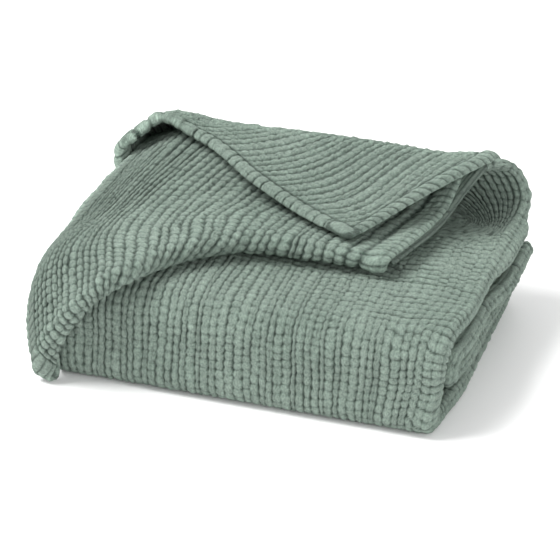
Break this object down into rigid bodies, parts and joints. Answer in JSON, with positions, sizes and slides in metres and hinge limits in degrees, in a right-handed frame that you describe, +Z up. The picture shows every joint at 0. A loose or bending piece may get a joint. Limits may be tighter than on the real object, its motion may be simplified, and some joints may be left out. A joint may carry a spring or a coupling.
{
  "type": "folded gauze blanket",
  "caption": "Crinkled cotton gauze throw, folded into a thick loose stack with one top corner turned back, a rolled front lip and a corner that hangs over the side.",
  "frame": {"origin": "centre of the bounding box, on the surface the blanket lies on", "axes": "+X to the right along the long front fold, +Y from the front fold to the back of the stack, +Z up"},
  "size_m": [0.443, 0.3378, 0.1785],
  "materials": {
    "gauze": "matte, crinkled and slightly fuzzy sage green cotton gauze"
  },
  "bodies": {
    "root": {"blanket": "gauze"}
  },
  "joints": []
}
